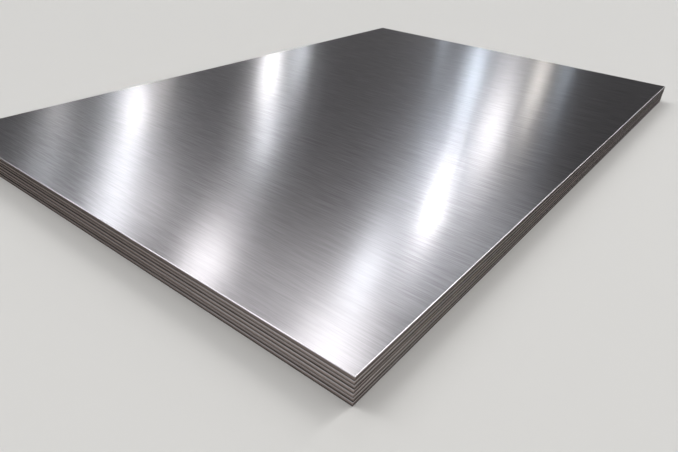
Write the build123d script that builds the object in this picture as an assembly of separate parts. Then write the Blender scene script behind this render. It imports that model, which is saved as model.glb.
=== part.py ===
from build123d import *
import os

# A neat stack of like steel plates, lying flat on one another.
# Frame: origin at the centre of the stack's underside, +X along the long side,
# +Y along the short side, +Z up. Lengths are in millimetres, angles in degrees.

# Plate
plate_length = 1829.0
plate_width = 1219.0
plate_thickness = 8.0

# Sheared edge: a rounded upper arris where the blade drew the metal down, an upright
# land below it, then a break that leans in to the dressed lower arris. The cuts meet in
# square corners
upper_arris_radius = 2.0
land_share = 0.35
break_angle = 3.0
lower_arris_chamfer = 0.6
lower_arris_angle = 45.0

# Stack
plate_count = 7
stack_shift = 0.4

# How far each plate lies off the middle of the stack along X and Y, from the bottom up,
# as shares of stack_shift; the extremes balance, so the stack stays centred
shift_shares = [
    (0.0, 0.3),
    (0.7, -0.4),
    (-1.0, 0.5),
    (0.3, 1.0),
    (1.0, -1.0),
    (-0.5, 0.2),
    (0.0, 0.0),
]


def sheared_plate():
    """One plate, standing on Z = 0 and centred on the Z axis."""
    break_height = (1 - land_share) * (plate_thickness - upper_arris_radius)
    outline = Pos(0, 0, break_height) * Rectangle(plate_length, plate_width)
    land = extrude(outline, amount=plate_thickness - break_height)
    drop = break_height - lower_arris_chamfer
    leaning_break = extrude(outline, amount=drop, dir=(0, 0, -1), taper=break_angle)
    break_foot = leaning_break.faces().sort_by(Axis.Z)[0]
    lower_arris = extrude(break_foot, amount=lower_arris_chamfer, taper=lower_arris_angle)
    plate = land + leaning_break + lower_arris
    return fillet(plate.edges().group_by(Axis.Z)[-1], upper_arris_radius)


def plate_name(level):
    """The plate's name, counted from the bottom."""
    if level == 0:
        return "bottom_plate"
    if level == plate_count - 1:
        return "top_plate"
    return f"plate_{level + 1}"


def plate_place(level):
    """Where the plate lies in the stack, face to face with its neighbours."""
    share_x, share_y = shift_shares[level % len(shift_shares)]
    return Pos(share_x * stack_shift, share_y * stack_shift, level * plate_thickness)


os.makedirs("parts", exist_ok=True)
plate = sheared_plate()
for level in range(plate_count):
    export_step(plate_place(level) * plate, f"parts/{plate_name(level)}.step")
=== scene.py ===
import math

import bmesh
import bpy
from mathutils import Matrix, Vector


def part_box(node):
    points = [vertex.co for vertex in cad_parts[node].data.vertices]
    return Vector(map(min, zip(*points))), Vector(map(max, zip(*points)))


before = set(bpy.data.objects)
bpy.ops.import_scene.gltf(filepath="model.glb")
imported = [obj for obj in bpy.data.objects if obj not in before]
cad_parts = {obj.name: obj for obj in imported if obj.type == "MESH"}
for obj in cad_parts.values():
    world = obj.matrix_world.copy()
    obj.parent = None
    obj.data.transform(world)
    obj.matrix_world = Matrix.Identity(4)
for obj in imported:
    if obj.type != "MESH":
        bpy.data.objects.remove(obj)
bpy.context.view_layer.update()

# A stack of brushed stainless plates on a pale studio floor, in metres, in the stack's own frame:
# +X along the long side, +Y along the short side and the brushed grain, +Z up.

top_low, top_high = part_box("top_plate")
plate_thickness = top_high.z - top_low.z
top_level = top_low.z / plate_thickness

# Camera, fitted to the plate edges in the photograph
sensor_width = 36.0
camera_lens = 29.69
camera_azimuth = math.radians(-53.22)
camera_elevation = math.radians(31.0)
camera_roll = math.radians(3.23)
camera_from_near_corner = Vector((-0.4375, -0.2870, 0.5414))

near_corner = Vector((top_low.x, top_low.y, top_high.z))
camera_place = near_corner + camera_from_near_corner


def camera_axes():
    """The camera's right, up and backward directions."""
    flat = math.cos(camera_elevation)
    back = Vector((
        math.sin(camera_azimuth) * flat,
        -math.cos(camera_azimuth) * flat,
        math.sin(camera_elevation),
    ))
    level_right = Vector((0, 0, 1)).cross(back).normalized()
    level_up = back.cross(level_right)
    right = level_right * math.cos(camera_roll) + level_up * math.sin(camera_roll)
    return right, back.cross(right), back


def add_camera():
    right, up, back = camera_axes()
    data = bpy.data.cameras.new("camera")
    data.sensor_fit = "HORIZONTAL"
    data.sensor_width = sensor_width
    data.lens = camera_lens
    camera = bpy.data.objects.new("camera", data)
    turn = Matrix((right, up, back)).transposed().to_4x4()
    camera.matrix_world = Matrix.Translation(camera_place) @ turn
    bpy.context.scene.collection.objects.link(camera)
    bpy.context.scene.camera = camera


class Shade:
    """One output socket of a material's nodes. Sums of these add Math nodes."""

    def __init__(self, tree, socket=None):
        self.tree = tree
        self.socket = socket

    def node(self, kind, settings=None, sockets=None, output=0):
        """Add a node: settings are set first, then its sockets take values or links."""
        made = self.tree.nodes.new(kind)
        for name, value in (settings or {}).items():
            setattr(made, name, value)
        for name, value in (sockets or {}).items():
            if isinstance(value, Shade):
                self.tree.links.new(value.socket, made.inputs[name])
            else:
                made.inputs[name].default_value = value
        return Shade(self.tree, made.outputs[output] if made.outputs else None)

    def math(self, operation, *values):
        return self.node("ShaderNodeMath", {"operation": operation}, dict(enumerate(values)))

    def __add__(self, other):
        return self.math("ADD", self, other)

    def __sub__(self, other):
        return self.math("SUBTRACT", self, other)

    def __rsub__(self, other):
        return self.math("SUBTRACT", other, self)

    def __mul__(self, other):
        return self.math("MULTIPLY", self, other)

    def __truediv__(self, other):
        return self.math("DIVIDE", self, other)

    __radd__ = __add__
    __rmul__ = __mul__


def new_material(name):
    material = bpy.data.materials.new(name)
    material.use_nodes = True
    material.node_tree.nodes.clear()
    return material, Shade(material.node_tree)


def noise(shade, place, spread, detail=2.0):
    """Noise from 0 to 1 whose marks are about as long as spread along each axis, in metres."""
    scaled = shade.node("ShaderNodeVectorMath", {"operation": "MULTIPLY"}, {
        0: place,
        1: [1 / length for length in spread],
    })
    return shade.node("ShaderNodeTexNoise", {"noise_dimensions": "3D"}, {
        "Vector": scaled,
        "Scale": 1.0,
        "Detail": detail,
    })


def between(shade, value, low, high):
    """0 below low, 1 above high and a smooth step from one to the other."""
    return shade.node("ShaderNodeMapRange", {"interpolation_type": "SMOOTHSTEP"}, {
        "Value": value,
        "From Min": low,
        "From Max": high,
    })


def tinted(shade, factor, dark, light):
    """A colour from dark, at factor 0, to light, at factor 1."""
    return shade.node("ShaderNodeMix", {"data_type": "RGBA"}, {
        "Factor": factor,
        "A": (*dark, 1),
        "B": (*light, 1),
    }, output=2)


# Brushed faces: hairlines run along Y, so that lamps draw out into streaks along X. The finish is
# a clear sheen under a wider haze, and the hairlines show most in the haze
fine_line_spread = (0.0015, 0.050, 0.002)
line_spread = (0.0038, 0.110, 0.002)
fine_line_share = 0.45
line_share = 0.55
grain_middle = 0.5
hairline_range = (0.34, 0.66)
hairline_slope = 0.035
roughness_swing = 0.03
sheen_dark = (0.560, 0.538, 0.560)
sheen_light = (0.610, 0.585, 0.610)
sheen_roughness = 0.20
sheen_anisotropy = 0.58
haze_dark = (0.47, 0.451, 0.47)
haze_light = (0.70, 0.672, 0.70)
haze_roughness = 0.285
haze_anisotropy = 0.726
haze_share = 0.30

# How upright the normal is where the finish goes from the sheared edge to the brushed face: on the
# flat of every plate, and on the part of the rounded arris that shows
flat_range = (0.90, 0.99)
rounded_range = (0.2, 0.5)

# Sheared edges: warm grey and duller than the faces, with painted shade darkening the joints
# between the plates
edge_dark_and_joint_shade = (0.030, 0.026, 0.024)
edge_light = (0.635, 0.543, 0.512)
edge_rim = (0.02, 0.017, 0.016)
break_roughness = 0.46
land_polish = 0.14

# Heights on an edge, as shares of the plate's thickness: where the top plate's own finish begins,
# where the break ends and the land begins, and how far the painted joint shade reaches up and down
top_plate_range = (0.2, 0.6)
land_range = (0.44, 0.58)
land_wander = 0.12
foot_shade_range = (0.06, 0.26)
head_shade_range = (0.89, 0.98)

# Marks on an edge, and how much each one lightens it
blotch_spread = (0.03, 0.03, 0.006)
blotch_detail = 4.0
striation_spread = (0.0008, 0.0008, 0.010)
striation_strength = 0.3
striation_depth = 0.0003
bare_tone = 0.04
land_tone = 0.38
plate_tone = 0.24
blotch_tone = 0.14
striation_tone = 0.20


def brushed_face(shade, place, normal):
    """The finish of the faces, with hairlines that tip the normal across the grain."""
    fine_lines = noise(shade, place, fine_line_spread)
    lines = noise(shade, place, line_spread)
    grain = fine_lines * fine_line_share + lines * line_share
    swing = grain - grain_middle
    hairlines = between(shade, grain, *hairline_range)
    lean = shade.node("ShaderNodeCombineXYZ", sockets={0: swing * hairline_slope})
    leaning = shade.node("ShaderNodeVectorMath", {"operation": "ADD"}, {0: normal, 1: lean})
    brushed_normal = shade.node("ShaderNodeVectorMath", {"operation": "NORMALIZE"}, {0: leaning})
    tangent = shade.node("ShaderNodeTangent", {"direction_type": "RADIAL", "axis": "Y"})

    def gloss(dark, light, roughness, anisotropy):
        return shade.node("ShaderNodeBsdfPrincipled", sockets={
            "Base Color": tinted(shade, hairlines, dark, light),
            "Metallic": 1.0,
            "Roughness": roughness + swing * roughness_swing,
            "Anisotropic": anisotropy,
            "Normal": brushed_normal,
            "Tangent": tangent,
        })

    sheen = gloss(sheen_dark, sheen_light, sheen_roughness, sheen_anisotropy)
    haze = gloss(haze_dark, haze_light, haze_roughness, haze_anisotropy)
    return shade.node("ShaderNodeMixShader", sockets={0: haze_share, 1: sheen, 2: haze})


def sheared_edge(shade, place, height, share, lower_plate, painted_head_shade):
    """The finish of the edges, with painted shade in the joints and a land that is brighter on the
    plates below the top one; the top plate's darker land is a painted shadow under its rim.
    """
    level = shade.math("FLOOR", height)
    level_tone = shade.node("ShaderNodeTexWhiteNoise", {"noise_dimensions": "1D"}, {"W": level})
    blotches = noise(shade, place, blotch_spread, detail=blotch_detail)
    striations = noise(shade, place, striation_spread)
    # The land lightens only the plates below the top one; on the top plate it stays dark as a
    # painted shadow under the rim
    land = between(shade, share + blotches * land_wander, *land_range)
    # Painted shade: the tone falls to dark at the foot of every plate's edge, shading the joint
    # under each plate and, on the lowest one, its foot on the floor
    painted_foot_shade = between(shade, share, *foot_shade_range)
    marks = level_tone * plate_tone + blotches * blotch_tone + striations * striation_tone
    # The tone carries the painted joint shade at each plate's foot and head, down to the
    # near-black dark edge colour
    edge_tone_and_shade = (bare_tone + land * lower_plate * land_tone + marks) * painted_foot_shade * painted_head_shade
    rippled_normal = shade.node("ShaderNodeBump", sockets={
        "Strength": striation_strength,
        "Distance": striation_depth,
        "Height": striations,
    })
    return shade.node("ShaderNodeBsdfPrincipled", sockets={
        "Base Color": tinted(shade, edge_tone_and_shade, edge_dark_and_joint_shade, edge_light),
        "Metallic": 1.0,
        "Roughness": break_roughness - land * land_polish,
        "Specular Tint": (*edge_rim, 1),
        "Normal": rippled_normal,
    })


def brushed_stainless():
    material, shade = new_material("brushed_stainless")
    place = shade.node("ShaderNodeTexCoord", output=3)
    height = shade.node("ShaderNodeSeparateXYZ", sockets={0: place}, output=2) / plate_thickness
    share = shade.math("FRACT", height)
    top_start, top_end = top_plate_range
    lower_plate = 1 - between(shade, height, top_level + top_start, top_level + top_end)
    # Painted shade: the head of each plate below the top one is darkened, shading the joint under
    # the plate above
    painted_head_shade = 1 - between(shade, share, *head_shade_range) * lower_plate

    normal = shade.node("ShaderNodeNewGeometry", output=1)
    rise = shade.node("ShaderNodeSeparateXYZ", sockets={0: normal}, output=2)
    upright = shade.math("ABSOLUTE", rise)
    flat = between(shade, upright, *flat_range)
    rounded = between(shade, upright, *rounded_range)
    # The same painted head shade swaps the brushed finish on those plates' rounded arris for the
    # darkened edge finish
    face = shade.math("MAXIMUM", flat, rounded * painted_head_shade)

    surface = shade.node("ShaderNodeMixShader", sockets={
        0: face,
        1: sheared_edge(shade, place, height, share, lower_plate, painted_head_shade),
        2: brushed_face(shade, place, normal),
    })
    shade.node("ShaderNodeOutputMaterial", sockets={"Surface": surface})
    return material


def dress_plates():
    finish = brushed_stainless()
    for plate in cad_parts.values():
        plate.material_slots[0].material = finish


# Floor: plain and pale
floor_size = 60.0
floor_colour = (0.72, 0.71, 0.69)
floor_roughness = 0.7


def add_floor():
    mesh = bpy.data.meshes.new("floor")
    shape = bmesh.new()
    bmesh.ops.create_grid(shape, x_segments=1, y_segments=1, size=floor_size / 2)
    shape.to_mesh(mesh)
    shape.free()
    floor = bpy.data.objects.new("floor", mesh)
    material, shade = new_material("pale_floor")
    paint = shade.node("ShaderNodeBsdfPrincipled", sockets={
        "Base Color": (*floor_colour, 1),
        "Roughness": floor_roughness,
    })
    shade.node("ShaderNodeOutputMaterial", sockets={"Surface": paint})
    mesh.materials.append(material)
    bpy.context.scene.collection.objects.link(floor)


# Distant lamps: each one's tilt from upright across the grain, towards +X, and its lean along the
# grain, towards +Y, both in degrees, then its apparent width, the light it gives and its colour
white = (1.0, 1.0, 1.0)
cool = (0.90, 0.96, 1.0)
blue = (0.76, 0.88, 1.0)
warm = (1.0, 0.96, 0.88)

# Small lamps behind the stack, which the grain draws out into the streaks on the top face
streak_lamps = {
    "near_right": (49.3, 26.5, 3.2, 0.0196, cool),
    "middle_right": (59.1, 22.8, 1.0, 0.0226, white),
    "far_right": (68.5, 20.0, 2.8, 0.0190, white),
    "corner_right": (73.9, 17.3, 1.4, 0.0076, warm),
    "outer_right": (75.7, 15.2, 1.0, 0.0021, blue),
    "far_middle": (72.8, 23.2, 1.6, 0.0085, blue),
    "far_thin": (76.6, 26.8, 1.0, 0.0012, blue),
    "near_middle": (41.0, 41.1, 4.9, 0.0334, white),
    "back_middle": (59.9, 41.1, 1.6, 0.0086, cool),
    "end_middle": (68.4, 42.6, 1.8, 0.0159, white),
    "thin_middle": (71.3, 40.0, 1.0, 0.0049, cool),
    "near_left": (38.8, 51.0, 3.4, 0.0144, cool),
    "between_left": (47.8, 52.5, 2.4, 0.0096, cool),
    "back_left": (56.6, 53.4, 1.4, 0.0130, white),
    "end_left": (59.3, 55.4, 1.0, 0.0031, cool),
    "thin_left": (62.4, 52.0, 1.0, 0.0019, warm),
    "edge_left": (40.2, 57.7, 1.0, 0.0039, cool),
    "outer_left": (50.4, 59.3, 1.0, 0.0034, white),
}

# Wider lamps about them, which give the glow between the streaks
glow_lamps = {
    "near_right": (38.0, 25.9, 8.4, 0.0444, white),
    "far_middle": (64.7, 23.6, 6.2, 0.0091, blue),
    "middle_right": (55.8, 20.3, 15.2, 0.0324, cool),
    "near_middle": (38.4, 29.6, 18.0, 0.0476, white),
    "near_left": (43.2, 49.6, 7.1, 0.0138, white),
}

# Lamps that draw the bright lines along the near arrises of the top plate
rim_lamps = {
    "near_left": (-14.0, 30.0, 14.0, 0.17, white),
    "middle_left": (-14.0, 43.0, 14.0, 0.17, white),
    "far_left": (-14.0, 55.0, 14.0, 0.14, white),
    "corner_right": (39.0, -9.5, 10.0, 0.19, white),
    "near_right": (48.0, -8.0, 11.0, 0.30, white),
    "middle_right": (59.0, -7.0, 10.0, 0.21, white),
    "far_right": (70.0, -5.0, 9.0, 0.09, white),
}

# Large soft lights, which light the floor and the edges
soft_lights = {
    "front": (-48.0, -30.0, 84.0, 0.13, white),
    "above": (-4.0, 10.0, 64.0, 0.7, white),
    "back": (-8.0, 38.0, 44.0, 0.65, white),
    "right": (38.0, -20.0, 34.0, 0.55, white),
    "low_right": (56.0, -46.0, 34.0, 0.16, warm),
    "low_left": (-62.0, 22.0, 40.0, 0.22, white),
}

# Studio walls: pale along the horizon and dim above it
horizon_level = 0.1
wall_level = 0.022
horizon_range = (0.06, 0.14)


def lamp_direction(tilt, lean):
    """Towards a lamp that tilts from upright to +X by one angle and leans to +Y by the other."""
    tilt = math.radians(tilt)
    lean = math.radians(lean)
    return Vector((
        math.cos(lean) * math.sin(tilt),
        math.sin(lean),
        math.cos(lean) * math.cos(tilt),
    ))


def add_lamp(name, tilt, lean, width, strength, colour):
    """A distant lamp, as wide as the angle it takes up, giving the strength in W/m2."""
    data = bpy.data.lights.new(name, "SUN")
    data.angle = math.radians(width)
    data.energy = strength
    data.color = colour
    lamp = bpy.data.objects.new(name, data)
    lamp.rotation_euler = lamp_direction(tilt, lean).to_track_quat("Z", "Y").to_euler()
    bpy.context.scene.collection.objects.link(lamp)


def add_walls():
    world = bpy.data.worlds.new("studio")
    world.use_nodes = True
    world.node_tree.nodes.clear()
    shade = Shade(world.node_tree)
    towards = shade.node("ShaderNodeTexCoord", output=0)
    height = shade.node("ShaderNodeSeparateXYZ", sockets={0: towards}, output=2)
    above = between(shade, height, *horizon_range)
    level = horizon_level + above * (wall_level - horizon_level)
    light = shade.node("ShaderNodeBackground", sockets={"Color": (1, 1, 1, 1), "Strength": level})
    shade.node("ShaderNodeOutputWorld", sockets={"Surface": light})
    bpy.context.scene.world = world


def add_lights():
    kinds = {"streak": streak_lamps, "glow": glow_lamps, "rim": rim_lamps, "soft": soft_lights}
    for kind, lamps in kinds.items():
        for name, lamp in lamps.items():
            add_lamp(f"{kind}_{name}", *lamp)
    add_walls()


add_camera()
dress_plates()
add_floor()
add_lights()
bpy.context.scene.view_settings.view_transform = "Standard"
